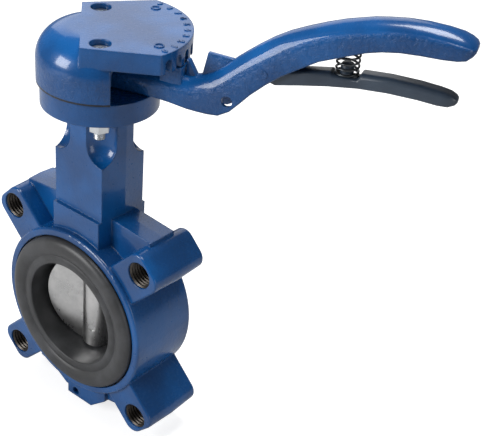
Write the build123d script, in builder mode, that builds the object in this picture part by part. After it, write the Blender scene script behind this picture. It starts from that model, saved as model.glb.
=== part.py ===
# Lug-type butterfly valve, DN 65, with a latching hand lever.
# Millimetres. +Z runs up the stem, Y is the pipe axis and the origin is the centre of the bore.
# The lever points along +X when the disc is shut and along +Y when it is fully open.
import os
from math import cos, radians, sin

from build123d import *

os.makedirs("parts", exist_ok=True)

# ---- clearances, used wherever two pieces meet ----
running = 0.05          # radial, stem in a bush
loose = 0.1             # radial, stem through rubber or a washer
sliding = 0.4           # trigger between the lever's walls
screw_play = 0.3        # radial, screw in its clearance hole
seal_gap = 0.2          # disc rim to the liner's bore

# ---- stem and liner sizes that the rest follows ----
stem_r = 6.3
liner_bore_r = 32.8
bead_r = 49.2
bead_crest = 26.3
bead_edge = 23.6
seat_face = 25.0
seat_r = liner_bore_r + 4.7
rest_angle = 20.0       # lever and disc, from shut

# ---- casting ----
ring_r = 55.0
ring_half = 22.5        # half the casting's width along the pipe
body_bore_r = liner_bore_r + 9.2
recess_r = bead_r + 1.0     # face recess that takes the liner's bead
recess_floor = 17.0
lug_pcd = 145.0
lug_count = 4
lug_hole_r = 8.0
lug_half_width = 13.0
lug_reach = lug_pcd / 2 + 10.5
lug_corner_r = 8.0
lug_half_depth = 20.0
lug_draft = 2.0
neck_half_x = 20.5
neck_half_y = 16.4
neck_draft = 7.0
foot_half_y = 18.7
foot_top = ring_r + 16
web_inner_z = 70.0
web_outer_x = 50.0
web_outer_z = 67.0
web_half_y = 9.5
boss_half_x = 15.0
boss_half_y = 12.0
boss_bottom = -ring_r - 18
boss_chamfer = 4.5
ear_front = 18.0        # small pad in front of the boss, with a blind drilling
ear_outline = [(-9, -50), (-9, -69), (12.3, -69), (24.8, -58.2), (24.8, -50)]
ear_hole = (-1.4, -64.6)
ear_hole_r = 2.6
ear_hole_depth = 6.0
wedge_outline = [(0, -50), (0, -66), (12.3, -66), (24.8, -58.2), (36, -56), (36, -45)]
wedge_half_y = 16.0
flange_r = 32.7
flange_t = 12.4
flange_top = 145.4
flange_low = flange_top - flange_t
flange_pcd = 50.0
pocket_r = 11.5
pocket_floor = flange_low - 30
screw_r = 3.0
stem_bore_r = stem_r + 1.7
stem_bore_low = boss_bottom + 5

# ---- stem and disc ----
stem_low = stem_bore_low + 2
square_af = stem_r * 10 / 7
square_low = flange_top + 0.5
stem_top = flange_top + 18.1
disc_half = 3.5
hub_r = stem_r + 3.2
hub_half = liner_bore_r - 1.8
pin_r = 2.5
pin_z = 17.0
washer_low = flange_top - 5.4   # floor of the counterbore at the top of the stem bore
washer_r = stem_r + 3.7
washer_t = 1.3
circlip_t = 1.2
circlip_r = stem_r + 2.3
groove_r = stem_r - 0.7
bush_low_range = (stem_low, -body_bore_r - 2)
bush_mid_range = (body_bore_r + 2, body_bore_r + 18)
bush_top_range = (flange_low - 15, washer_low)
seal_height = 4.0

# ---- cap ----
cap_gasket_t = 0.6
cap_top = flange_top + 31.7
cap_r = 34.5
cap_wall = 4.5
dome_r = 18.0
skirt_end = 5.4         # the skirt stops this far past the stem
wing_low = cap_top - 11.1
wing_back = (-10.5, 31.5)
wing_tip = (30.5, 38.3)
rim_r = 49.2
rim_wall = 4.2
roof_low = cap_top - 4.6
crown_r = 24.0
cap_boss_r = 8.0
notch_count = 10
notch_step = 10.0
notch_w = 4.6
notch_top = cap_top - 3.7
counterbore_r = 5.75
counterbore_floor = cap_top - 9.0
head_r = 5.0
head_h = 6.0
hex_socket = 5.0
cap_screw_len = 45.0
nut_af = 10.0
nut_h = 5.2

# ---- lever: (along, height above the top flange) in its own vertical plane ----
lever_half = 9.0
hub_lever_r = 14.0
lever_low = 0.8
hub_top = 19.1
flat_end = 34.0         # the underside stays level as far as this, over the top flange
arm_bottom = [(34, 0.8), (44, -0.2), (53.5, -1.6), (65, -2.1), (71, -1.6), (77, 2), (87.5, 13.9),
            (95, 21.1), (103.2, 28), (120.7, 39.5), (128.4, 42.8), (143.5, 49), (151, 51.1),
            (158.5, 52.5), (170, 53.2), (182, 53.5), (188.3, 53.9)]
arm_top = [(40, 14.6), (52, 14.9), (58, 16.2), (67, 20.6), (78, 31.1), (96, 45.4), (108, 52),
            (123, 58.4), (137, 63), (151, 66.1), (165, 67.6), (177, 67.6), (190, 65)]
grip_nose = [(193.6, 56.8), (195, 60.4)]
grip_end = 195.0
channel_half = 7.0
channel_roof = [(60, 7.1), (67, 12.1), (78, 24.1), (86, 32.1), (96, 39.4), (108, 46), (123, 52.6),
            (137, 57.2), (151, 60.3), (170, 61.8), (186, 60.8)]
channel_end = 186.0
fin_half = 2.1
fin = [(49.8, 9.6), (49.8, 23.5), (51, 23.5), (57.2, 15.2), (57.2, 9.6)]
blade_half = 1.3
blade = [(57.6, 12.6), (59.5, 19.1), (61.2, 29.4), (74, 28.5), (82, 32.6), (80, 19.6)]
step = (37.0, 49.5, 20.0)   # raised step under the notched rim: start, end, height
step_half = 7.5
lock_hole_r = 3.0
lock_hole = (75.5, 7.8)
pivot = (93.5, 27.1)
pivot_r = 2.5
spring_at = 134.0
spring_low = 33.2
spring_top = 46.6
spring_r = 6.3
wire_r = 0.6
spring_pitch = 2.6
seat_half = 7.0

# ---- trigger ----
trigger_hub_half = channel_half - sliding
trigger_half = 5.0
trigger_hub_r = 4.5
trigger_top = [(99, 29.2), (111, 31.5), (126, 34.2), (141, 36.3), (156, 37.1), (171, 36.8),
            (185, 35.6)]
trigger_bottom = [(99, 20.4), (111, 23.1), (126, 26.1), (141, 28.2), (156, 29.1), (171, 28.8),
            (185, 27.6)]
trigger_end = (190.5, 31.4)
peg_r = 3.4
peg_top = 39.5

# ---- lever fastening ----
lever_washer_r = 9.0
lever_washer_t = 1.2
lever_screw_head_r = 5.0
lever_screw_head_h = 4.0
lever_screw_len = 16.0

# ---- derived ----
cap_low = flange_top + cap_gasket_t
screw_xy = flange_pcd / 2 / 2 ** 0.5
lever_dir = (cos(radians(rest_angle)), sin(radians(rest_angle)), 0)
lever_side = (sin(radians(rest_angle)), -cos(radians(rest_angle)), 0)
lever_plane = Plane(origin=(0, 0, flange_top), x_dir=lever_dir, z_dir=lever_side)
disc_plane = Plane(origin=(0, 0, 0), x_dir=lever_dir, z_dir=lever_side)


def cap_plane(z):
    # x runs along the cap's axis of symmetry, half way between shut and open
    return Plane(origin=(0, 0, z), x_dir=(1, 1, 0), z_dir=(0, 0, 1))


def turned(z):
    # x runs along the lever
    return Plane(origin=(0, 0, z), x_dir=lever_dir, z_dir=(0, 0, 1))


# ================= body casting =================
with BuildPart() as valve_body:
    # four drafted lug pads, split at the casting's parting plane
    with BuildSketch(Plane.XZ):
        with PolarLocations(lug_reach / 2 + 20, lug_count, start_angle=45):
            RectangleRounded(lug_reach - 40, 2 * lug_half_width, lug_corner_r)
    extrude(amount=lug_half_depth, taper=lug_draft)
    fillet(faces().sort_by(Axis.Y)[0:lug_count].edges(), 1.2)
    # ring
    with BuildSketch(Plane.XZ):
        Circle(ring_r)
    extrude(amount=ring_half, taper=1)
    fillet(faces().sort_by(Axis.Y)[0].edges().sort_by(SortBy.LENGTH)[-1], 1.5)
    # neck and its foot
    with BuildSketch(Plane.XZ):
        with Locations((0, (flange_low + 45) / 2 + 3)):
            Rectangle(2 * neck_half_x, flange_low - 45 + 6)
    extrude(amount=neck_half_y, taper=neck_draft)
    with BuildSketch(Plane.XZ):
        with Locations((0, (foot_top + 40) / 2)):
            Rectangle(2 * neck_half_x, foot_top - 40)
    extrude(amount=foot_half_y, taper=neck_draft)
    # bottom boss
    with BuildSketch(Plane.XZ):
        with BuildLine():
            Polyline((0, -45), (boss_half_x, -45), (boss_half_x, boss_bottom + boss_chamfer),
                     (boss_half_x - boss_chamfer, boss_bottom), (0, boss_bottom), close=True)
        make_face()
        mirror(about=Plane.YZ)
    extrude(amount=boss_half_y, taper=4)
    # wedges from the boss to the lower lugs
    with BuildSketch(Plane.XZ):
        with BuildLine():
            Polyline(*wedge_outline, close=True)
        make_face()
        mirror(about=Plane.YZ)
    extrude(amount=wedge_half_y, taper=4)
    # webs from the neck to the upper lugs
    with BuildSketch(Plane.XZ):
        with BuildLine():
            Polyline((10, 45), (10, web_inner_z), (web_outer_x, web_outer_z), (web_outer_x, 45), close=True)
        make_face()
        mirror(about=Plane.YZ)
    extrude(amount=web_half_y, taper=2)
    mirror(about=Plane.XZ)
    # pad in front of the boss
    with BuildSketch(Plane.XZ):
        with BuildLine():
            Polyline(*ear_outline, close=True)
        make_face()
    extrude(amount=ear_front, taper=2)
    with BuildSketch(Plane.XZ.offset(ear_front)):
        with Locations(ear_hole):
            Circle(ear_hole_r)
    extrude(amount=-ear_hole_depth, mode=Mode.SUBTRACT)
    # corner pockets that clear the flange nuts
    with Locations(*[(sx * screw_xy, sy * screw_xy, pocket_floor + pocket_r) for sx in (-1, 1) for sy in (-1, 1)]):
        Sphere(pocket_r, mode=Mode.SUBTRACT)
        Cylinder(pocket_r, flange_top - pocket_floor - pocket_r, mode=Mode.SUBTRACT,
                 align=(Align.CENTER, Align.CENTER, Align.MIN))
    # top flange
    with BuildSketch(Plane.XY.offset(flange_low)):
        Circle(flange_r)
    extrude(amount=flange_top - flange_low)
    with BuildSketch(Plane.XY.offset(flange_low)):
        with PolarLocations(flange_pcd / 2, 4, start_angle=45):
            Circle(screw_r + screw_play)
    extrude(amount=flange_top - flange_low, mode=Mode.SUBTRACT)
    # flow bore with a recess on each face
    with BuildSketch(Plane.XZ):
        Circle(body_bore_r)
    extrude(amount=ring_half, both=True, mode=Mode.SUBTRACT)
    for side in (1, -1):
        with BuildSketch(Plane.XZ.offset(side * recess_floor)):
            Circle(recess_r)
        extrude(amount=side * (ring_half - recess_floor), mode=Mode.SUBTRACT)
    # lug bolt holes
    with BuildSketch(Plane.XZ):
        with PolarLocations(lug_pcd / 2, lug_count, start_angle=45):
            Circle(lug_hole_r)
    extrude(amount=lug_half_depth, both=True, mode=Mode.SUBTRACT)
    # stem bore, blind in the bottom boss, with a counterbore at the top
    with BuildSketch(Plane.XY.offset(stem_bore_low)):
        Circle(stem_bore_r)
    extrude(amount=flange_top - stem_bore_low, mode=Mode.SUBTRACT)
    with BuildSketch(Plane.XY.offset(washer_low)):
        Circle(washer_r + screw_play)
    extrude(amount=flange_top - washer_low, mode=Mode.SUBTRACT)
valve_body.part.label = "valve_body"
export_step(valve_body.part, "parts/valve_body.step")

# ================= rubber liner =================
with BuildPart() as liner:
    with BuildSketch(Plane.XY):
        with BuildLine():
            start = Line((liner_bore_r, 0), (liner_bore_r, -seat_face + 0.6))
            lip = Line(start @ 1, (liner_bore_r + 0.6, -seat_face))
            seat = Line(lip @ 1, (seat_r, -seat_face))
            valley = Line(seat @ 1, (seat_r + 0.7, -seat_face + 0.9))
            bead = Spline(valley @ 1, (seat_r + 3, -bead_crest + 0.25), (seat_r + 5.5, -bead_crest),
                          (bead_r - 2.5, -bead_edge - 1.2), (bead_r, -bead_edge))
            Polyline(bead @ 1, (bead_r, -recess_floor), (body_bore_r, -recess_floor), (body_bore_r, 0),
                     start @ 0)
        make_face()
    revolve(axis=Axis.Y)
    mirror(about=Plane.XZ)
    with BuildSketch(Plane.XY.offset(-body_bore_r)):
        Circle(stem_r + loose)
    extrude(amount=2 * body_bore_r, mode=Mode.SUBTRACT)
liner.part.label = "liner"
export_step(liner.part, "parts/liner.step")

# ================= disc =================
disc_r = liner_bore_r - seal_gap
with BuildPart() as disc:
    with BuildSketch(disc_plane):
        Circle(disc_r)
    extrude(amount=disc_half, both=True)
    with BuildSketch(Plane.XY.offset(-hub_half)):
        Circle(hub_r)
    extrude(amount=2 * hub_half)
    Sphere(disc_r, mode=Mode.INTERSECT)
    with BuildSketch(Plane.XY.offset(-disc_r)):
        Circle(stem_r)
    extrude(amount=2 * disc_r, mode=Mode.SUBTRACT)
    with BuildSketch(disc_plane):
        with Locations((0, pin_z), (0, -pin_z)):
            Circle(pin_r)
    extrude(amount=hub_r, both=True, mode=Mode.SUBTRACT)
disc.part.label = "disc"
export_step(disc.part, "parts/disc.step")

# ================= stem =================
with BuildPart() as stem:
    with BuildSketch(Plane.XY.offset(stem_low)):
        Circle(stem_r)
    extrude(amount=square_low - stem_low)
    with BuildSketch(turned(square_low)):
        Circle(stem_r)
        Rectangle(square_af, square_af, mode=Mode.INTERSECT)
    extrude(amount=stem_top - square_low)
    with BuildSketch(Plane.XY.offset(washer_low + washer_t + running)):
        Circle(stem_r + 1)
        Circle(groove_r, mode=Mode.SUBTRACT)
    extrude(amount=circlip_t, mode=Mode.SUBTRACT)
    with BuildSketch(disc_plane):
        with Locations((0, pin_z), (0, -pin_z)):
            Circle(pin_r)
    extrude(amount=hub_r, both=True, mode=Mode.SUBTRACT)
    with BuildSketch(Plane.XY.offset(stem_top)):
        Circle(screw_r)
    extrude(amount=-lever_screw_len, mode=Mode.SUBTRACT)
stem.part.label = "stem"
export_step(stem.part, "parts/stem.step")

with BuildPart() as disc_pin_upper:
    with BuildSketch(disc_plane):
        with Locations((0, pin_z)):
            Circle(pin_r)
    extrude(amount=hub_r - 0.4, both=True)
disc_pin_upper.part.label = "disc_pin_upper"
export_step(disc_pin_upper.part, "parts/disc_pin_upper.step")

with BuildPart() as disc_pin_lower:
    with BuildSketch(disc_plane):
        with Locations((0, -pin_z)):
            Circle(pin_r)
    extrude(amount=hub_r - 0.4, both=True)
disc_pin_lower.part.label = "disc_pin_lower"
export_step(disc_pin_lower.part, "parts/disc_pin_lower.step")

# ================= stem bushes, seal and retainer =================
with BuildPart() as stem_bush_lower:
    with BuildSketch(Plane.XY.offset(bush_low_range[0])):
        Circle(stem_bore_r)
        Circle(stem_r + running, mode=Mode.SUBTRACT)
    extrude(amount=bush_low_range[1] - bush_low_range[0])
stem_bush_lower.part.label = "stem_bush_lower"
export_step(stem_bush_lower.part, "parts/stem_bush_lower.step")

with BuildPart() as stem_bush_middle:
    with BuildSketch(Plane.XY.offset(bush_mid_range[0])):
        Circle(stem_bore_r)
        Circle(stem_r + running, mode=Mode.SUBTRACT)
    extrude(amount=bush_mid_range[1] - bush_mid_range[0])
stem_bush_middle.part.label = "stem_bush_middle"
export_step(stem_bush_middle.part, "parts/stem_bush_middle.step")

with BuildPart() as stem_seal:
    with BuildSketch(Plane.XY.offset(bush_mid_range[1])):
        Circle(stem_bore_r)
        Circle(stem_r + running, mode=Mode.SUBTRACT)
    extrude(amount=seal_height)
stem_seal.part.label = "stem_seal"
export_step(stem_seal.part, "parts/stem_seal.step")

with BuildPart() as stem_bush_upper:
    with BuildSketch(Plane.XY.offset(bush_top_range[0])):
        Circle(stem_bore_r)
        Circle(stem_r + running, mode=Mode.SUBTRACT)
    extrude(amount=bush_top_range[1] - bush_top_range[0])
stem_bush_upper.part.label = "stem_bush_upper"
export_step(stem_bush_upper.part, "parts/stem_bush_upper.step")

with BuildPart() as thrust_washer:
    with BuildSketch(Plane.XY.offset(washer_low)):
        Circle(washer_r)
        Circle(stem_r + loose, mode=Mode.SUBTRACT)
    extrude(amount=washer_t)
thrust_washer.part.label = "thrust_washer"
export_step(thrust_washer.part, "parts/thrust_washer.step")

with BuildPart() as stem_circlip:
    with BuildSketch(turned(washer_low + washer_t + running)):
        Circle(circlip_r)
        Circle(groove_r, mode=Mode.SUBTRACT)
        with Locations((-circlip_r, 0)):
            Rectangle(circlip_r, 3, mode=Mode.SUBTRACT)
    extrude(amount=circlip_t)
stem_circlip.part.label = "stem_circlip"
export_step(stem_circlip.part, "parts/stem_circlip.step")

# ================= cap =================
with BuildPart() as cap_gasket:
    with BuildSketch(cap_plane(flange_top)):
        Circle(flange_r - 0.5)
        Circle(cap_r - cap_wall, mode=Mode.SUBTRACT)
        with Locations((0, flange_pcd / 2), (0, -flange_pcd / 2)):
            Circle(cap_boss_r)
        with Locations((skirt_end + cap_r, 0)):
            Rectangle(2 * cap_r, 3 * cap_r, mode=Mode.SUBTRACT)
        with Locations((0, flange_pcd / 2), (0, -flange_pcd / 2)):
            Circle(screw_r + screw_play, mode=Mode.SUBTRACT)
    extrude(amount=cap_gasket_t)
cap_gasket.part.label = "cap_gasket"
export_step(cap_gasket.part, "parts/cap_gasket.step")

shoulder = cap_top - dome_r
bosses = ((0, flange_pcd / 2), (0, -flange_pcd / 2))
with BuildPart() as notch_cap:
    # domed back
    with BuildSketch(Plane.XZ):
        with BuildLine():
            Line((0, cap_low), (cap_r, cap_low))
            Line((cap_r, cap_low), (cap_r, shoulder))
            RadiusArc((cap_r, shoulder), (cap_r - dome_r, cap_top), -dome_r)
            Line((cap_r - dome_r, cap_top), (0, cap_top))
            Line((0, cap_top), (0, cap_low))
        make_face()
    revolve(axis=Axis.Z)
    with BuildSketch(cap_plane(cap_low)):
        Circle(cap_r - cap_wall)
        with Locations(*bosses):
            Circle(cap_boss_r, mode=Mode.SUBTRACT)
    extrude(amount=wing_low - 1 - cap_low, mode=Mode.SUBTRACT)
    with BuildSketch(cap_plane(cap_low)):
        with Locations((skirt_end + rim_r, 0)):
            Rectangle(2 * rim_r, 3 * rim_r)
    extrude(amount=cap_top - cap_low, mode=Mode.SUBTRACT)
    # flat top plate that widens out to the notched rim
    with BuildSketch(cap_plane(wing_low)) as wing:
        with BuildLine():
            Line(wing_back, wing_tip)
            ThreePointArc(wing_tip, (rim_r, 0), (wing_tip[0], -wing_tip[1]))
            Line((wing_tip[0], -wing_tip[1]), (wing_back[0], -wing_back[1]))
            Line((wing_back[0], -wing_back[1]), wing_back)
        make_face()
    extrude(amount=cap_top - wing_low)
    # hollow underside
    with BuildSketch(cap_plane(wing_low)):
        add(wing.sketch_local)
        offset(amount=-rim_wall, mode=Mode.REPLACE)
        with Locations(*bosses):
            Circle(cap_boss_r, mode=Mode.SUBTRACT)
    extrude(amount=roof_low - wing_low, mode=Mode.SUBTRACT)
    with BuildSketch(cap_plane(wing_low - 1)):
        Circle(crown_r)
        with Locations(*bosses):
            Circle(cap_boss_r, mode=Mode.SUBTRACT)
    extrude(amount=roof_low - wing_low + 1, mode=Mode.SUBTRACT)
    # ten round-topped latch notches through the rim
    for k in range(notch_count):
        angle = k * notch_step
        out = (cos(radians(angle)), sin(radians(angle)), 0)
        notch_plane = Plane(origin=(0, 0, 0), x_dir=(-out[1], out[0], 0), z_dir=out)
        with BuildSketch(notch_plane.offset(rim_r - rim_wall - 2)):
            with Locations((0, wing_low - 2)):
                Rectangle(notch_w, notch_top - notch_w / 2 - wing_low + 2, align=(Align.CENTER, Align.MIN))
            with Locations((0, notch_top - notch_w / 2)):
                Circle(notch_w / 2)
        extrude(amount=rim_wall + 4, mode=Mode.SUBTRACT)
    # screw holes
    with BuildSketch(cap_plane(cap_low)):
        with Locations(*bosses):
            Circle(screw_r + screw_play)
    extrude(amount=cap_top - cap_low, mode=Mode.SUBTRACT)
    with BuildSketch(cap_plane(counterbore_floor)):
        with Locations(*bosses):
            Circle(counterbore_r)
    extrude(amount=cap_top - counterbore_floor, mode=Mode.SUBTRACT)
notch_cap.part.label = "notch_cap"
export_step(notch_cap.part, "parts/notch_cap.step")

# ================= cap screws and nuts =================
with BuildPart() as cap_screw_front:
    with BuildSketch(Plane.XY.offset(counterbore_floor)):
        with Locations((screw_xy, -screw_xy)):
            Circle(head_r)
    extrude(amount=head_h)
    with BuildSketch(Plane.XY.offset(counterbore_floor)):
        with Locations((screw_xy, -screw_xy)):
            Circle(screw_r)
    extrude(amount=-cap_screw_len)
    with BuildSketch(Plane.XY.offset(counterbore_floor + head_h)):
        with Locations((screw_xy, -screw_xy)):
            RegularPolygon(hex_socket / 2, 6, major_radius=False)
    extrude(amount=-head_h / 2, mode=Mode.SUBTRACT)
cap_screw_front.part.label = "cap_screw_front"
export_step(cap_screw_front.part, "parts/cap_screw_front.step")

with BuildPart() as cap_screw_rear:
    add(cap_screw_front.part.moved(Location((-2 * screw_xy, 2 * screw_xy, 0))))
cap_screw_rear.part.label = "cap_screw_rear"
export_step(cap_screw_rear.part, "parts/cap_screw_rear.step")

with BuildPart() as flange_nut_front:
    with BuildSketch(Plane.XY.offset(flange_low)):
        with Locations((screw_xy, -screw_xy)):
            RegularPolygon(nut_af / 2, 6, major_radius=False, rotation=10)
            Circle(screw_r, mode=Mode.SUBTRACT)
    extrude(amount=-nut_h)
flange_nut_front.part.label = "flange_nut_front"
export_step(flange_nut_front.part, "parts/flange_nut_front.step")

with BuildPart() as flange_nut_rear:
    add(flange_nut_front.part.moved(Location((-2 * screw_xy, 2 * screw_xy, 0))))
flange_nut_rear.part.label = "flange_nut_rear"
export_step(flange_nut_rear.part, "parts/flange_nut_rear.step")

# ================= lever =================
with BuildPart() as lever:
    with BuildSketch(lever_plane):
        with BuildLine():
            floor = Line((0, lever_low), (flat_end, lever_low))
            low = Spline(floor @ 1, *arm_bottom[1:])
            top = Line((0, arm_top[0][1]), arm_top[0])
            high = Spline(*arm_top)
            Line(floor @ 0, top @ 0)
            Spline(low @ 1, *grip_nose, high @ 1)
        make_face()
    extrude(amount=lever_half, both=True)
    # hub on the stem's square
    with BuildSketch(Plane.XY.offset(flange_top + lever_low)):
        Circle(hub_lever_r)
    extrude(amount=hub_top - lever_low)
    with BuildSketch(lever_plane):
        with Locations((step[0], lever_low + 1)):
            Rectangle(step[1] - step[0], step[2] - lever_low - 1, align=(Align.MIN, Align.MIN))
    extrude(amount=step_half, both=True)
    # channel along the open underside
    with BuildSketch(lever_plane):
        with BuildLine():
            roof = Spline(*channel_roof)
            Polyline(roof @ 0, (channel_roof[0][0], -10), (channel_end, -10), roof @ 1)
        make_face()
    extrude(amount=channel_half, both=True, mode=Mode.SUBTRACT)
    # fin that faces the notches and the thin plate behind it
    with BuildSketch(lever_plane):
        with BuildLine():
            Polyline(*fin, close=True)
        make_face()
    extrude(amount=fin_half, both=True)
    with BuildSketch(lever_plane):
        with BuildLine():
            Polyline(*blade, close=True)
        make_face()
    extrude(amount=blade_half, both=True)
    # spring seat hanging from the channel's roof
    with BuildSketch(lever_plane):
        with Locations((spring_at, spring_top)):
            Rectangle(2 * seat_half, 12, align=(Align.CENTER, Align.MIN))
    extrude(amount=channel_half + 0.5, both=True)
    with BuildSketch(lever_plane):
        with Locations(pivot):
            Circle(pivot_r)
        with Locations(lock_hole):
            Circle(lock_hole_r)
    extrude(amount=lever_half + 1, both=True, mode=Mode.SUBTRACT)
    with BuildSketch(turned(flange_top + lever_low - 1)):
        Rectangle(square_af + 2 * loose, square_af + 2 * loose)
    extrude(amount=hub_top - lever_low + 2, mode=Mode.SUBTRACT)
lever.part.label = "lever"
export_step(lever.part, "parts/lever.step")

with BuildPart() as lever_washer:
    with BuildSketch(Plane.XY.offset(flange_top + hub_top)):
        Circle(lever_washer_r)
        Circle(screw_r + screw_play, mode=Mode.SUBTRACT)
    extrude(amount=lever_washer_t)
lever_washer.part.label = "lever_washer"
export_step(lever_washer.part, "parts/lever_washer.step")

with BuildPart() as lever_screw:
    with BuildSketch(Plane.XY.offset(flange_top + hub_top + lever_washer_t)):
        RegularPolygon(lever_screw_head_r, 6, major_radius=False)
    extrude(amount=lever_screw_head_h)
    with BuildSketch(Plane.XY.offset(flange_top + hub_top + lever_washer_t)):
        Circle(screw_r)
    extrude(amount=-lever_screw_len)
lever_screw.part.label = "lever_screw"
export_step(lever_screw.part, "parts/lever_screw.step")

# ================= trigger, its pin and its spring =================
with BuildPart() as trigger:
    with BuildSketch(lever_plane):
        with BuildLine():
            under = Spline(*trigger_bottom)
            over = Spline(*trigger_top)
            Spline(under @ 1, trigger_end, over @ 1)
            Polyline(over @ 0, (pivot[0] - 1, pivot[1] + trigger_hub_r), pivot)
            Polyline(pivot, (pivot[0] + 1, pivot[1] - trigger_hub_r), under @ 0)
        make_face()
    extrude(amount=trigger_half, both=True)
    with BuildSketch(lever_plane):
        with Locations(pivot):
            Circle(trigger_hub_r)
    extrude(amount=trigger_hub_half, both=True)
    # flat with a peg for the spring
    with BuildSketch(lever_plane):
        with Locations((spring_at, spring_low)):
            Rectangle(2 * spring_r + 1, 20, align=(Align.CENTER, Align.MIN))
    extrude(amount=trigger_half + 1, both=True, mode=Mode.SUBTRACT)
    with BuildSketch(turned(flange_top + spring_low - 1)):
        with Locations((spring_at, 0)):
            Circle(peg_r)
    extrude(amount=peg_top - spring_low + 1)
    with BuildSketch(lever_plane):
        with Locations(pivot):
            Circle(pivot_r + running)
    extrude(amount=trigger_hub_half + 1, both=True, mode=Mode.SUBTRACT)
trigger.part.label = "trigger"
export_step(trigger.part, "parts/trigger.step")

with BuildPart() as trigger_pin:
    with BuildSketch(lever_plane):
        with Locations(pivot):
            Circle(pivot_r)
    extrude(amount=lever_half + 0.2, both=True)
trigger_pin.part.label = "trigger_pin"
export_step(trigger_pin.part, "parts/trigger_pin.step")

spring_foot = (spring_at * lever_dir[0], spring_at * lever_dir[1], flange_top + spring_low + wire_r)
with BuildPart() as trigger_spring:
    with BuildLine() as coil:
        Helix(spring_pitch, spring_top - spring_low - 2 * wire_r, spring_r - wire_r, center=spring_foot)
    with BuildSketch(Plane(origin=coil.line @ 0, z_dir=coil.line % 0)):
        Circle(wire_r)
    sweep(is_frenet=True)
trigger_spring.part.label = "trigger_spring"
export_step(trigger_spring.part, "parts/trigger_spring.step")
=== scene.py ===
# %% [markdown]
# # Butterfly valve with a latching lever
# The exact solids come from the CAD frame. This script gives them their finishes, rebuilds the
# pieces whose real shape is softer than plain CAD, and sets up a quiet studio round them.
# Lengths are written in millimetres and turned into metres by `MM`.

# %% Load the frame
import math
import bmesh
import bpy
from mathutils import Matrix, Vector


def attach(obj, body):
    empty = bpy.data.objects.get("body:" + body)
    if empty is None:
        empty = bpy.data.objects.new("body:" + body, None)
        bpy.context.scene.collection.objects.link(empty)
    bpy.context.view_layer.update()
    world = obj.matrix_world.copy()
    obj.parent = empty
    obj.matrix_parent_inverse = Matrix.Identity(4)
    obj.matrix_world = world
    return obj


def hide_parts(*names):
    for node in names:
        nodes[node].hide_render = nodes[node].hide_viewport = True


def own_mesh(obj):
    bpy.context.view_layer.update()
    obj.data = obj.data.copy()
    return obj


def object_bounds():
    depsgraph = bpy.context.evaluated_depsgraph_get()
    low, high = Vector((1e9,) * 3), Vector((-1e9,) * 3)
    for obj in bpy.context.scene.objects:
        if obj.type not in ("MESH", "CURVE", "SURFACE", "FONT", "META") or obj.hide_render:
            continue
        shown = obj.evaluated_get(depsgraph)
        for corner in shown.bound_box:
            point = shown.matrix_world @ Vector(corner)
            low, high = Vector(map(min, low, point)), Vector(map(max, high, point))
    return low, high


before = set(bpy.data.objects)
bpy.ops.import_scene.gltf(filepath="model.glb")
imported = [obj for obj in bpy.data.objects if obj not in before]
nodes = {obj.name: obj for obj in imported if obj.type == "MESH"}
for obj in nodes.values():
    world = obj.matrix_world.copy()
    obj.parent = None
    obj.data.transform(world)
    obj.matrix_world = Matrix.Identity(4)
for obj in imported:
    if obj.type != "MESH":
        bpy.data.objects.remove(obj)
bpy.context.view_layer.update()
MM = 0.001
LEVER_ANGLE = math.radians(20)
CAP_TOP = 177.1
CAP_JOINT = 145.9           # where the cap's skirt begins
SPRING_AT, SPRING_FOOT, SPRING_SEAT = 134, 178.6, 192.0
PIVOT = (93.5, 172.5)       # the trigger's pin: distance from the stem, height
LOCK_HOLE = (75.5, 153.2)


def on_lever(distance, height=0.0):
    # a place in the lever's own upright plane, in metres
    return Vector((distance * math.cos(LEVER_ANGLE), distance * math.sin(LEVER_ANGLE), height)) * MM


# %% [markdown]
# ## Camera
# A long lens from the front right and above keeps the pipe flange face and the lever both in
# view. The eye direction is built from three angles, so each can be changed by itself.

# %% Camera
AZIMUTH, ELEVATION, ROLL = (math.radians(a) for a in (36.73, 31.80, 5.01))
backward = Vector((math.sin(AZIMUTH) * math.cos(ELEVATION), -math.cos(AZIMUTH) * math.cos(ELEVATION),
                   math.sin(ELEVATION)))
right = Vector((math.cos(AZIMUTH), math.sin(AZIMUTH), 0))
upward = backward.cross(right)
right, upward = (math.cos(ROLL) * right + math.sin(ROLL) * upward,
                 -math.sin(ROLL) * right + math.cos(ROLL) * upward)
bpy.ops.object.camera_add()
camera = bpy.context.object
camera.data.lens = 82.38
camera.data.clip_end = 20
eye = right * 0.08718 + upward * 0.04819 + backward * 0.67454
camera.matrix_world = Matrix((
    (right.x, upward.x, backward.x, eye.x), (right.y, upward.y, backward.y, eye.y),
    (right.z, upward.z, backward.z, eye.z), (0, 0, 0, 1)))
bpy.context.scene.camera = camera
print("camera at", [round(c, 3) for c in eye])

# %% [markdown]
# ## Shader maths as plain expressions
# Wiring nodes by hand is slow to read. `Wire` wraps one socket so that `1 - wire * 2` adds the
# Math nodes, and `Finish.node` adds any other node from its type, its settings and its inputs.

# %% Wire and Finish
class Wire:
    def __init__(self, finish, socket):
        self.finish = finish
        self.socket = socket

    def join(self, operation, *values):
        return self.finish.node("ShaderNodeMath", {"operation": operation}, dict(enumerate(values)))

    def __add__(self, other):
        return self.join("ADD", self, other)

    def __radd__(self, other):
        return self.join("ADD", other, self)

    def __sub__(self, other):
        return self.join("SUBTRACT", self, other)

    def __rsub__(self, other):
        return self.join("SUBTRACT", other, self)

    def __mul__(self, other):
        return self.join("MULTIPLY", self, other)

    def clamp(self, low, high):
        # 0 below low, 1 above high, smooth between
        return self.finish.node("ShaderNodeMapRange", {"interpolation_type": "SMOOTHSTEP"},
                                {"Value": self, "From Min": low, "From Max": high})


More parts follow.
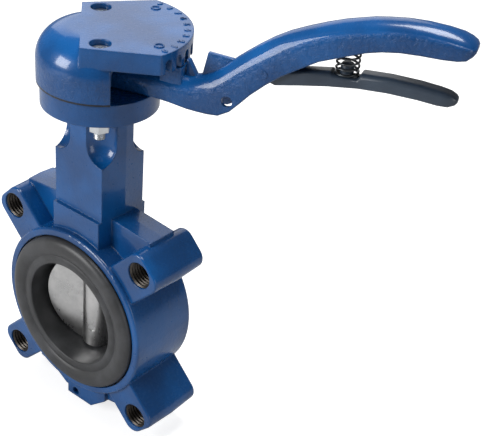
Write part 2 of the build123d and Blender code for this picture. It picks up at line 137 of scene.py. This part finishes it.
class Finish:
    def __init__(self, name, **constants):
        self.material = bpy.data.materials.new(name)
        self.material.use_nodes = True
        self.tree = self.material.node_tree
        self.skin = self.tree.nodes["Principled BSDF"]
        for socket, value in constants.items():
            self.skin.inputs[socket.replace("_", " ")].default_value = value
        self.place = self.node("ShaderNodeTexCoord", output="Object")
        self.facing = self.node("ShaderNodeTexCoord", output="Normal")

    def node(self, kind, settings=None, values=None, output=0):
        made = self.tree.nodes.new(kind)
        for key, value in (settings or {}).items():
            setattr(made, key, value)
        for key, value in (values or {}).items():
            if isinstance(value, Wire):
                self.tree.links.new(value.socket, made.inputs[key])
            else:
                made.inputs[key].default_value = value
        return Wire(self, made.outputs[output])

    def noise(self, scale, detail=2.0, roughness=0.5, distortion=0.0):
        return self.node("ShaderNodeTexNoise", {}, {
            "Vector": self.place, "Scale": scale, "Detail": detail, "Roughness": roughness,
            "Distortion": distortion})

    def axis(self, vector, letter):
        return self.node("ShaderNodeSeparateXYZ", {}, {"Vector": vector}, output=letter)

    def mix(self, factor, first, second):
        return self.node("ShaderNodeMix", {"data_type": "RGBA"}, {
            "Factor": factor, 6: first, 7: second}, output=2)

    def soft_edges(self, radius):
        return self.node("ShaderNodeBevel", {"samples": 8}, {"Radius": radius * MM})

    def bump(self, height, distance, strength=1.0, edges=None):
        values = {"Height": height, "Distance": distance * MM, "Strength": strength}
        if edges is not None:
            values["Normal"] = edges
        return self.node("ShaderNodeBump", {}, values)

    def feed(self, socket, wire):
        self.tree.links.new(wire.socket, self.skin.inputs[socket])


# %% [markdown]
# ## Blue enamel
# The castings are shot-blasted iron under a thick glossy blue coat. The coat flows, so it has
# a fine orange peel everywhere and the iron's own lumpy skin shows on walls that were cast
# upright. The bevel node rounds every sharp edge by a millimetre or so, as paint does. The cap
# also has a thin dark line painted along its joint: painted shade for the shadow in the gap.

# %% Enamel
DEEP_BLUE = (0.003, 0.050, 0.175, 1)
BRIGHT_BLUE = (0.003, 0.086, 0.290, 1)
# colour of the painted shade along the cap's joint
JOINT_SHADE = (0.002, 0.006, 0.016, 1)


def enamel(name, rough_walls, rough_below=None, edge=0.9, joint=None):
    # rough_walls: how deep the iron's skin shows; rough_below: only under this height
    coat = Finish(name, Coat_Weight=0.45, Coat_Roughness=0.08, Coat_IOR=1.5, Specular_IOR_Level=0.3)
    cloud = coat.noise(28, 3)
    colour = coat.mix(cloud.clamp(0.35, 0.7), DEEP_BLUE, BRIGHT_BLUE)
    # painted shade: the colour of a thin band just above the joint is darkened to stand for the shadow in the
    # gap
    if joint is not None:
        height = coat.axis(coat.place, "Z")
        above = height.clamp((joint - 0.2) * MM, joint * MM)
        beyond = height.clamp((joint + 1.0) * MM, (joint + 1.3) * MM)
        colour = coat.mix(above * (1 - beyond), colour, JOINT_SHADE)
    coat.feed("Base Color", colour)
    peel = coat.noise(420, 2)
    lumps = coat.noise(330, 4, 0.62, 0.6)
    up = coat.axis(coat.facing, "Z")
    wall = 1 - (up * up).clamp(0.02, 0.30)
    if rough_below is not None:
        height = coat.axis(coat.place, "Z")
        wall = wall * (1 - height.clamp(rough_below * MM, (rough_below + 5) * MM))
    skin_height = peel * 0.04 + cloud * 0.3 + lumps * wall * rough_walls
    coat.feed("Roughness", 0.24 + wall * (0.10 * min(1.0, rough_walls)) + peel * 0.06)
    coat.feed("Normal", coat.bump(skin_height, 1.3, 0.8, coat.soft_edges(edge)))
    return coat.material


body_enamel = enamel("blue_enamel_body", 0.16, edge=1.3)
cap_enamel = enamel("blue_enamel_cap", 0.8, rough_below=158, edge=1.6, joint=CAP_JOINT)
lever_enamel = enamel("blue_enamel_lever", 1.0, edge=0.8)
print("enamels", [m.name for m in (body_enamel, cap_enamel, lever_enamel)])

# %% [markdown]
# ## Rubber, steel and the small hardware
# Moulded rubber is dark grey, nearly even, with faint dust and a satin sheen. The disc is
# polished stainless, drawn in one direction. Zinc plate is pale and slightly cloudy.

# %% Rubber and metals
RUBBER_CLEAN, RUBBER_DUSTY = (0.030, 0.031, 0.033, 1), (0.055, 0.057, 0.062, 1)
COAT_DARK, COAT_LIGHT = (0.018, 0.030, 0.050, 1), (0.035, 0.055, 0.085, 1)
BOARD_DARK, BOARD_LIGHT = (0.010, 0.010, 0.011, 1), (0.022, 0.022, 0.024, 1)


def rubber(name):
    skin = Finish(name, IOR=1.45)
    dust = skin.noise(60, 4, 0.6)
    skin.feed("Base Color", skin.mix(dust.clamp(0.35, 0.75), RUBBER_CLEAN, RUBBER_DUSTY))
    skin.feed("Roughness", 0.34 + dust * 0.16)
    skin.feed("Normal", skin.bump(skin.noise(500, 2) * 0.12 + skin.noise(90, 2) * 0.4, 0.15, 0.5))
    return skin.material


def metal(name, dark, light, roughness, grain=(1, 1, 1), grain_depth=0.3, thread=None, edge=0.25):
    skin = Finish(name, Metallic=1.0)
    cloud = skin.noise(70, 3, 0.6)
    skin.feed("Base Color", skin.mix(cloud.clamp(0.3, 0.75), dark, light))
    stretched = skin.node("ShaderNodeMapping", {}, {"Vector": skin.place, "Scale": grain})
    lines = skin.node("ShaderNodeTexNoise", {}, {"Vector": stretched, "Scale": 900.0, "Detail": 2.0})
    skin.feed("Roughness", roughness + cloud * 0.10 + lines * 0.08)
    height = lines * grain_depth
    if thread is not None:
        along = skin.axis(skin.place, "Z")
        ridge = skin.node("ShaderNodeMath", {"operation": "PINGPONG"}, {0: along, 1: thread * MM / 2})
        height = height + ridge * (2 / (thread * MM)) * 6
    skin.feed("Normal", skin.bump(height, 0.08, 0.6, skin.soft_edges(edge)))
    return skin.material


black_rubber = rubber("black_rubber")
stainless = metal("stainless", (0.50, 0.50, 0.50, 1), (0.68, 0.675, 0.67, 1), 0.20, (1, 1, 0.05))
bronze = metal("bronze", (0.42, 0.28, 0.12, 1), (0.52, 0.37, 0.18, 1), 0.30)
zinc = metal("zinc_plate", (0.55, 0.58, 0.60, 1), (0.76, 0.78, 0.80, 1), 0.24)
zinc_threaded = metal("zinc_plate_threaded", (0.50, 0.53, 0.55, 1), (0.74, 0.76, 0.78, 1), 0.26, thread=1.0)
dark_steel = metal("dark_steel", (0.045, 0.040, 0.036, 1), (0.11, 0.10, 0.09, 1), 0.34)
spring_steel = metal("spring_steel", (0.05, 0.055, 0.06, 1), (0.16, 0.17, 0.18, 1), 0.28)


def dark_coat(name):
    coat = Finish(name, Coat_Weight=0.25, Coat_Roughness=0.2)
    cloud = coat.noise(45, 3)
    coat.feed("Base Color", coat.mix(cloud.clamp(0.3, 0.7), COAT_DARK, COAT_LIGHT))
    coat.feed("Roughness", 0.38 + cloud * 0.1)
    coat.feed("Normal", coat.bump(coat.noise(380, 3) * 0.35 + cloud * 0.3, 0.25, 0.7, coat.soft_edges(1.2)))
    return coat.material


def board(name):
    sheet = Finish(name)
    fibre = sheet.noise(600, 3)
    sheet.feed("Base Color", sheet.mix(fibre, BOARD_DARK, BOARD_LIGHT))
    sheet.feed("Roughness", 0.75 + fibre * 0.15)
    sheet.feed("Normal", sheet.bump(fibre, 0.05, 0.6))
    return sheet.material


trigger_coat = dark_coat("dark_coat")
gasket_board = board("gasket_board")

# %% Give every CAD node its finish
FINISHES = {
    "valve_body": body_enamel, "notch_cap": cap_enamel, "lever": lever_enamel, "trigger_pin": lever_enamel,
    "liner": black_rubber, "stem_seal": black_rubber, "disc": stainless, "stem": stainless,
    "disc_pin_upper": stainless, "disc_pin_lower": stainless, "stem_bush_lower": bronze,
    "stem_bush_middle": bronze, "stem_bush_upper": bronze, "thrust_washer": bronze,
    "stem_circlip": spring_steel, "trigger_spring": spring_steel, "cap_gasket": gasket_board,
    "cap_screw_front": zinc_threaded, "cap_screw_rear": zinc_threaded, "flange_nut_front": zinc,
    "flange_nut_rear": zinc, "lever_washer": zinc, "lever_screw": zinc, "trigger": trigger_coat,
}
for name, node in nodes.items():
    for slot in node.material_slots:
        slot.material = FINISHES[name]
print("finished", len(FINISHES), "of", len(nodes), "nodes")


# %% [markdown]
# ## Tools for modelling by hand
# Each new piece starts as a primitive and is shaped in edit mode. `pick` chooses vertices by
# their place, `hand_over` finishes a piece: it bakes its place into the mesh, parents it to the
# body that carries it, gives it its one material and hides the CAD nodes it stands for.

# %% Modelling helpers
def clear_selection():
    if bpy.context.object and bpy.context.object.mode != "OBJECT":
        bpy.ops.object.mode_set(mode="OBJECT")
    bpy.ops.object.select_all(action="DESELECT")


def pick(test):
    # selects what passes the test, in edit mode
    bpy.ops.mesh.select_mode(type="VERT")
    bpy.ops.mesh.select_all(action="DESELECT")
    mesh = bpy.context.object.data
    edited = bmesh.from_edit_mesh(mesh)
    for vertex in edited.verts:
        vertex.select_set(test(vertex))
    edited.select_flush_mode()
    bmesh.update_edit_mesh(mesh)


def tidy_shell():
    bpy.ops.mesh.select_all(action="SELECT")
    bpy.ops.mesh.remove_doubles(threshold=0.00001)
    bpy.ops.mesh.normals_make_consistent(inside=False)
    bpy.ops.object.mode_set(mode="OBJECT")


def apply_modifier(piece, kind, **settings):
    bpy.context.view_layer.objects.active = piece
    modifier = piece.modifiers.new(kind, kind)
    for key, value in settings.items():
        setattr(modifier, key, value)
    bpy.ops.object.modifier_apply(modifier=modifier.name)


def hand_over(piece, name, body, material, stands_for=(), smooth=35):
    clear_selection()
    piece.name = name
    piece.data.name = name
    piece.select_set(True)
    bpy.context.view_layer.objects.active = piece
    bpy.ops.object.transform_apply(location=True, rotation=True, scale=True)
    bpy.ops.object.shade_smooth_by_angle(angle=math.radians(smooth))
    piece.data.materials.clear()
    piece.data.materials.append(material)
    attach(piece, body)
    if stands_for:
        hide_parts(*stands_for)
    print(name, len(piece.data.polygons), "faces")
    return piece


UP = (0, 0, 1)


def lathe(profile, axis, steps):
    # profile: (radius, height) pairs round a closed outline, spun about the axis
    clear_selection()
    out = Vector((1, 0, 0))
    along = Vector(axis)
    points = [(out * r + along * h) * MM for r, h in profile]
    bpy.ops.mesh.primitive_plane_add(size=0.001, location=points[0])
    piece = bpy.context.object
    bpy.ops.object.transform_apply(location=True)
    bpy.ops.object.mode_set(mode="EDIT")
    bpy.ops.mesh.select_mode(type="VERT")
    bpy.ops.mesh.select_all(action="SELECT")
    bpy.ops.mesh.merge(type="CENTER")
    for last, point in zip(points, points[1:] + points[:1]):
        bpy.ops.mesh.extrude_region_move(TRANSFORM_OT_translate={"value": point - last})
    bpy.ops.mesh.select_all(action="SELECT")
    bpy.ops.mesh.spin(steps=steps, angle=math.tau, center=(0, 0, 0), axis=along)
    tidy_shell()
    return piece


def bore_out(piece, radius, length, place, tilt):
    # takes a round hole out of a piece; tilt turns the cutter from upright
    clear_selection()
    bpy.ops.mesh.primitive_cylinder_add(vertices=48, radius=radius * MM, depth=length * MM,
                                        location=Vector(place) * MM, rotation=tilt)
    cutter = bpy.context.object
    apply_modifier(piece, "BOOLEAN", operation="DIFFERENCE", object=cutter, solver="EXACT")
    bpy.data.objects.remove(cutter)


# %% [markdown]
# ## Rubber liner
# The liner is one moulding: a sleeve through the bore with a fat bead on each face. A spun
# outline gives its round bead smoothly, which flat CAD facets don't.

# %% Rubber liner
def bead_curve(side):
    # from the seat's outer edge over the bead to the groove at its rim
    shape = [(37.4, 25.0), (37.9, 24.55), (38.4, 24.5), (38.9, 24.85), (39.7, 25.35), (41.0, 25.85),
             (42.6, 26.2), (44.3, 26.28), (46.0, 26.0), (47.4, 25.4), (48.4, 24.6), (49.0, 23.6),
             (49.15, 22.4)]
    return [(r, side * y) for r, y in shape]


outline = [(32.85, 0.0), (32.85, -24.2), (33.0, -24.7), (33.45, -25.0)] + bead_curve(-1)
outline += [(49.15, -17.05), (42.0, -17.05), (42.0, 17.05), (49.15, 17.05)] + bead_curve(1)[::-1]
outline += [(33.45, 25.0), (33.0, 24.7), (32.85, 24.2)]
liner = lathe(outline, (0, 1, 0), 128)
bore_out(liner, 6.4, 120, (0, 0, 0), (0, 0, 0))
hand_over(liner, "rubber_liner", "body", black_rubber, ["liner"], smooth=50)

# %% [markdown]
# ## Threads in the lugs
# Each lug is tapped right through for the flange bolts. A saw-tooth outline spun round the
# hole reads as a thread; the four are copies with their own mesh.

# %% Lug threads
LUG = 145 / 2 * math.sqrt(0.5)
PITCH, TEETH = 2.0, 19
saw = [(7.95, -TEETH), (7.95, TEETH)]
for tooth in range(TEETH):
    high = TEETH - tooth * PITCH
    saw += [(7.75, high - 0.15), (6.95, high - 0.9), (6.95, high - 1.1), (7.75, high - 1.85)]
thread = lathe(saw, (0, 1, 0), 48)
for x, z, label in ((-1, 1, "upper_left"), (1, 1, "upper_right"),
                    (-1, -1, "lower_left"), (1, -1, "lower_right")):
    copy = thread.copy()
    copy.data = thread.data.copy()
    bpy.context.collection.objects.link(copy)
    copy.location = (x * LUG * MM, 0, z * LUG * MM)
    hand_over(copy, "lug_thread_" + label, "body", dark_steel, smooth=30)
bpy.data.objects.remove(thread)

# %% [markdown]
# ## Lever
# The lever is one casting: a flat arm under the cap, a steep knee, and a hollow grip. It is
# drawn out from one rounded section, station by station, along its own length, then turned
# to its place on the stem. Each station is (distance, underside, shoulder, top). A second bar,
# given by (distance, roof), is taken away from below and leaves two thin side walls.

# %% Lever casting
STATIONS = [
    (8, 146.4, 153, 160), (24, 146.4, 153, 160), (34, 146.3, 152, 160), (44, 145.3, 150.5, 160),
    (53, 143.9, 150.1, 160.3), (59, 143.5, 150.4, 162), (65, 143.4, 151.4, 165), (71, 143.9, 154.2, 169.8),
    (77, 147.5, 158.2, 175.6), (82, 153, 162.3, 179.9), (87.5, 159.4, 167.5, 184.4), (95, 166.6, 175, 190),
    (103, 173.3, 182.5, 194.9), (112, 179.3, 188.5, 199.2), (121, 185.1, 193.3, 203),
    (130, 188.9, 197.5, 206.3), (143.5, 194.5, 201.5, 210.1), (151, 196.6, 203.6, 211.4),
    (160, 198.1, 205, 212.6), (170, 198.7, 205.6, 213), (180, 198.9, 205.5, 212.5),
    (187, 199.5, 205.2, 211.5), (191, 200.3, 205.2, 210), (193.6, 202.4, 205.2, 208.5),
    (194.8, 203.9, 205.2, 206.9),
]
CHANNEL = [
    (60, 152.5), (67, 157.5), (78, 169.5), (86, 177.5), (96, 184.8), (108, 191.4), (123, 198),
    (137, 202.6), (151, 205.7), (170, 207.2), (186, 206.2),
]
HALF = 8.9


def draw_bar(stations, half, corner=0.96):
    # a bar along +X whose top is rounded above its shoulder line
    clear_selection()
    x, low, shoulder = stations[0][:3]
    middle = Vector((x, 0, (low + shoulder + half) / 2)) * MM
    bpy.ops.mesh.primitive_plane_add(size=1, location=middle, rotation=(0, math.pi / 2, 0))
    piece = bpy.context.object
    bpy.ops.object.transform_apply(location=True, rotation=True)
    bpy.ops.object.mode_set(mode="EDIT")
    bpy.ops.mesh.select_all(action="SELECT")
    bpy.ops.transform.resize(value=(1, 2 * half * MM, (shoulder + half - low) * MM), center_override=middle)
    pick(lambda v: v.co.z > shoulder * MM)
    bpy.ops.mesh.bevel(offset=half * corner * MM, offset_type="OFFSET", segments=8,
                       affect="VERTICES")
    old = (x, low, shoulder, shoulder + half)
    for step, new in enumerate(stations):
        if step:
            pick(lambda v: v.co.x > (old[0] - 0.01) * MM)
            bpy.ops.mesh.extrude_region_move(TRANSFORM_OT_translate={
                "value": Vector((new[0] - old[0], 0, new[2] - old[2])) * MM})
        ahead = (new[0] - 0.01) * MM
        pick(lambda v: v.co.x > ahead and v.co.z > (new[2] + 0.05) * MM)
        bpy.ops.transform.resize(value=(1, 1, (new[3] - new[2]) / (old[3] - old[2])),
                                 center_override=Vector((new[0], 0, new[2])) * MM)
        pick(lambda v: v.co.x > ahead and v.co.z < (new[2] - 0.3) * MM)
        drop = (new[1] - new[2]) - (old[1] - old[2])
        bpy.ops.transform.translate(value=(0, 0, drop * MM))
        old = new
    return piece


def round_end(shares):
    # narrows the last stations so that the end is round from above too
    for x, share in shares:
        pick(lambda v: abs(v.co.x - x * MM) < 0.00005)
        bpy.ops.transform.resize(value=(1, share, 1), center_override=(x * MM, 0, 0))


lever = draw_bar(STATIONS, HALF)
round_end(((191, 0.95), (193.6, 0.80), (194.8, 0.55)))
tidy_shell()
apply_modifier(lever, "BEVEL", width=0.9 * MM, segments=3, limit_method="ANGLE", angle_limit=math.radians(42),
               harden_normals=False)
channel = draw_bar([(x, 130, roof - 4, roof) for x, roof in CHANNEL], 6.9, 0.45)
tidy_shell()
apply_modifier(lever, "BOOLEAN", operation="DIFFERENCE", object=channel, solver="EXACT")
bpy.data.objects.remove(channel)
bore_out(lever, 3.0, 40, (LOCK_HOLE[0], 0, LOCK_HOLE[1]), (math.pi / 2, 0, 0))
lever.rotation_euler.z = LEVER_ANGLE
hand_over(lever, "lever_casting", "lever_and_disc", lever_enamel, ["lever"], smooth=40)

# %% [markdown]
# ## Hub, fin and blade of the lever
# The hub sits on the stem's square, under the cap. A step fills the space under the rim. In
# front of the notches a small fin stands up from the arm, and behind a narrow V comes a thin
# blade that runs into the grip. The spring's seat hangs inside the hollow grip.

# %% Lever details
hub = lathe([(6.5, 146.4), (13.2, 146.4), (13.9, 147.1), (13.9, 163.8), (13.2, 164.5), (6.5, 164.5)],
            UP, 64)
hand_over(hub, "lever_hub", "lever_and_disc", lever_enamel)


def wedge(name, low, high, foot, head, half, edge=0.6):
    # a block from foot=(x0, x1) at height low to head=(x0, x1, z0, z1), drawn in to its top
    clear_selection()
    middle = (foot[0] + foot[1]) / 2 * MM
    bpy.ops.mesh.primitive_cube_add(size=1, location=(middle, 0, (low + high) / 2 * MM))
    piece = bpy.context.object
    piece.scale = ((foot[1] - foot[0]) * MM, 2 * half * MM, (high - low) * MM)
    bpy.ops.object.transform_apply(location=True, scale=True)
    bpy.ops.object.mode_set(mode="EDIT")
    pick(lambda v: v.co.z > (high - 0.1) * MM and v.co.x < middle)
    bpy.ops.transform.translate(value=((head[0] - foot[0]) * MM, 0, (head[2] - high) * MM))
    pick(lambda v: v.co.z > (low + 1) * MM and v.co.x > middle)
    bpy.ops.transform.translate(value=((head[1] - foot[1]) * MM, 0, (head[3] - high) * MM))
    tidy_shell()
    apply_modifier(piece, "BEVEL", width=edge * MM, segments=3)
    piece.rotation_euler.z = LEVER_ANGLE
    return hand_over(piece, name, "lever_and_disc", lever_enamel, smooth=45)


wedge("latch_fin", 158, 169, (49.9, 57.2), (49.9, 51.3, 168.8, 168.3), 2.1, 0.4)
wedge("latch_blade", 158, 175, (57.8, 84.0), (61.2, 75.0, 174.8, 173.9), 1.3, 0.3)
wedge("latch_step", 150, 165.3, (37.2, 49.3), (37.2, 49.3, 165.3, 165.3), 7.4, 0.5)
cup = lathe([(0.02, 192.1), (6.6, 192.1), (6.8, 192.4), (6.8, 204.0), (0.02, 204.0)], UP, 40)
cup.location = on_lever(SPRING_AT)
hand_over(cup, "spring_cup", "lever_and_disc", lever_enamel)

# %% [markdown]
# ## Trigger
# The trigger is a slim rounded bar. It hangs from the pin between the lever's walls and ends
# under the grip; a flat with a round peg carries the spring.

# %% Trigger bar
TRIGGER = [
    (90, 168.6, 171, 176.4), (99, 166, 171, 174.6), (111, 168.6, 173.2, 176.8), (126.5, 171.6, 175.6, 179.5),
    (127.5, 171.7, 175.6, 178.5), (140.8, 173.6, 176.4, 178.5), (141.8, 173.7, 177.6, 181.6),
    (156, 174.5, 178.4, 182.4), (171, 174.3, 178.2, 182.1), (181, 173.6, 177.6, 181.2),
    (186, 173.7, 177.4, 180.4), (189, 174.8, 177, 179.2), (190.2, 175.9, 177, 178.1),
]
trigger = draw_bar(TRIGGER, 4.95, 0.62)
round_end(((186, 0.93), (189, 0.72), (190.2, 0.45)))
tidy_shell()
apply_modifier(trigger, "BEVEL", width=1.8 * MM, segments=4, limit_method="ANGLE",
               angle_limit=math.radians(50))
trigger.rotation_euler.z = LEVER_ANGLE
hand_over(trigger, "trigger_bar", "trigger", trigger_coat, ["trigger"], smooth=50)
peg = lathe([(0.02, 178.0), (3.4, 178.0), (3.4, 183.6), (3.0, 184.4), (2.2, 184.8), (0.02, 184.9)],
            UP, 32)
peg.location = on_lever(SPRING_AT)
hand_over(peg, "spring_peg", "trigger", trigger_coat)
trigger_hub = lathe([(2.6, -6.5), (4.2, -6.5), (4.4, -6.2), (4.4, 6.2), (4.2, 6.5), (2.6, 6.5)],
                    (0, 1, 0), 32)
trigger_hub.location = on_lever(*PIVOT)
trigger_hub.rotation_euler.z = LEVER_ANGLE
hand_over(trigger_hub, "trigger_hub", "trigger", trigger_coat)

# %% [markdown]
# ## Spring
# A short coil pushes the trigger down. Its wire is a curve with a round bevel, turned into a
# mesh that has its own mesh data. Its foot stays on the trigger.

# %% Trigger spring
TURNS, COIL_R, WIRE_R = 5.5, 5.65, 0.6
LOW, HIGH = SPRING_FOOT + 0.65, SPRING_SEAT - 0.65
curve = bpy.data.curves.new("coil", "CURVE")
curve.dimensions = "3D"
curve.bevel_depth = WIRE_R * MM
curve.bevel_resolution = 3
curve.use_fill_caps = True
line = curve.splines.new("POLY")
count = int(TURNS * 32)
line.points.add(count)
home = on_lever(SPRING_AT)
for k in range(count + 1):
    share = k / count
    rising = min(1, max(0, (share - 0.13) / 0.74))      # the end coils lie nearly flat
    turn = math.tau * TURNS * share
    height = LOW + (HIGH - LOW) * (0.06 * share + 0.94 * rising)
    point = home + Vector((math.cos(turn) * COIL_R, math.sin(turn) * COIL_R, height)) * MM
    line.points[k].co = (*point, 1)
coil = bpy.data.objects.new("coil", curve)
bpy.context.collection.objects.link(coil)
clear_selection()
coil.select_set(True)
bpy.context.view_layer.objects.active = coil
bpy.ops.object.convert(target="MESH")
hand_over(coil, "spring_coil", "trigger", spring_steel, ["trigger_spring"], smooth=60)
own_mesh(coil)

# %% [markdown]
# ## Dial on the cap
# The rim carries one plain raised number at each notch, from 0 for shut to 9 for open, and a
# small raised ring further in marks each end.

# %% Dial
def raised_text(words, size, place, turn, name):
    clear_selection()
    bpy.ops.object.text_add(location=(0, 0, 0))
    piece = bpy.context.object
    piece.data.body = words
    piece.data.size = size * MM
    piece.data.extrude = 0.40 * MM
    piece.data.offset = 0.16 * MM
    piece.data.bevel_depth = 0.08 * MM
    piece.data.align_x = "CENTER"
    piece.data.align_y = "CENTER"
    bpy.ops.object.convert(target="MESH")
    piece.location = Vector(place) * MM
    piece.rotation_euler.z = turn
    return hand_over(piece, name, "body", cap_enamel)


DIAL_R, MARK_R = 45.6, 39.5
for k in range(10):
    a = math.radians(10 * k)
    place = (DIAL_R * math.cos(a), DIAL_R * math.sin(a), CAP_TOP)
    raised_text(str(k), 4.6, place, a - math.pi / 2, f"dial_{k}")
for a, label in ((math.radians(4), "shut"), (math.radians(86), "open")):
    spot = Vector((MARK_R * math.cos(a), MARK_R * math.sin(a), 0))
    outline = ((1.9, -0.1), (2.8, -0.1), (2.8, 0.4), (2.6, 0.6), (2.1, 0.6), (1.9, 0.4))
    ring = lathe([(r, CAP_TOP + h) for r, h in outline], UP, 32)
    ring.location = spot * MM
    hand_over(ring, "dial_mark_" + label, "body", cap_enamel)

# %% [markdown]
# ## Studio
# Large soft lights from the front left, from above and from behind, and a weak one from the
# right, make a product table. The one behind gives level faces their sheen. The floor and the
# background read white to the camera, and the floor still takes the object's shadow.

# %% Floor, world and lamps
low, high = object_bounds()
clear_selection()
bpy.ops.mesh.primitive_plane_add(size=6, location=(0, 0, low[2] - 0.0005))
floor = bpy.context.object
floor.name = "floor"
floor_paint = bpy.data.materials.new("floor_white")
floor_paint.use_nodes = True
tree = floor_paint.node_tree
tree.nodes.clear()
out = tree.nodes.new("ShaderNodeOutputMaterial")
diffuse = tree.nodes.new("ShaderNodeBsdfDiffuse")
diffuse.inputs["Color"].default_value = (0.55, 0.55, 0.55, 1)
glow = tree.nodes.new("ShaderNodeEmission")
path = tree.nodes.new("ShaderNodeLightPath")
both = tree.nodes.new("ShaderNodeAddShader")
gain = tree.nodes.new("ShaderNodeMath")
gain.operation = "MULTIPLY"
gain.inputs[1].default_value = 0.75
tree.links.new(path.outputs["Is Camera Ray"], gain.inputs[0])
tree.links.new(gain.outputs[0], glow.inputs["Strength"])
tree.links.new(diffuse.outputs[0], both.inputs[0])
tree.links.new(glow.outputs[0], both.inputs[1])
tree.links.new(both.outputs[0], out.inputs["Surface"])
floor.data.materials.append(floor_paint)

world = bpy.data.worlds.new("studio")
bpy.context.scene.world = world
world.use_nodes = True
tree = world.node_tree
back = tree.nodes["Background"]
back.inputs["Color"].default_value = (1, 1, 1, 1)
path = tree.nodes.new("ShaderNodeLightPath")
seen = tree.nodes.new("ShaderNodeMath")
seen.operation = "MAXIMUM"
level = tree.nodes.new("ShaderNodeMapRange")
level.inputs["To Min"].default_value = 0.16
level.inputs["To Max"].default_value = 1.0
tree.links.new(path.outputs["Is Camera Ray"], seen.inputs[0])
tree.links.new(path.outputs["Is Transmission Ray"], seen.inputs[1])
tree.links.new(seen.outputs[0], level.inputs["Value"])
tree.links.new(level.outputs[0], back.inputs["Strength"])


def softbox(name, place, target, size, power):
    lamp = bpy.data.lights.new(name, "AREA")
    lamp.shape = "RECTANGLE"
    lamp.size, lamp.size_y = size
    lamp.energy = power
    holder = bpy.data.objects.new(name, lamp)
    bpy.context.collection.objects.link(holder)
    aim = Vector(target) - Vector(place)
    holder.matrix_world = Matrix.Translation(place) @ aim.to_track_quat("-Z", "Y").to_matrix().to_4x4()


softbox("front_left", (-0.55, -1.15, 0.55), (0, 0, 0.03), (0.6, 0.6), 15)
softbox("overhead", (0.1, 0.1, 1.35), (0.05, 0, 0.1), (0.6, 0.6), 16)
softbox("behind", (-0.95, 0.92, 0.80), (0, 0, 0.1), (1.2, 1.0), 4.5)
softbox("right", (1.3, -0.1, 0.25), (0, 0, 0.05), (0.4, 0.8), 3)
bpy.context.scene.view_settings.view_transform = "Standard"
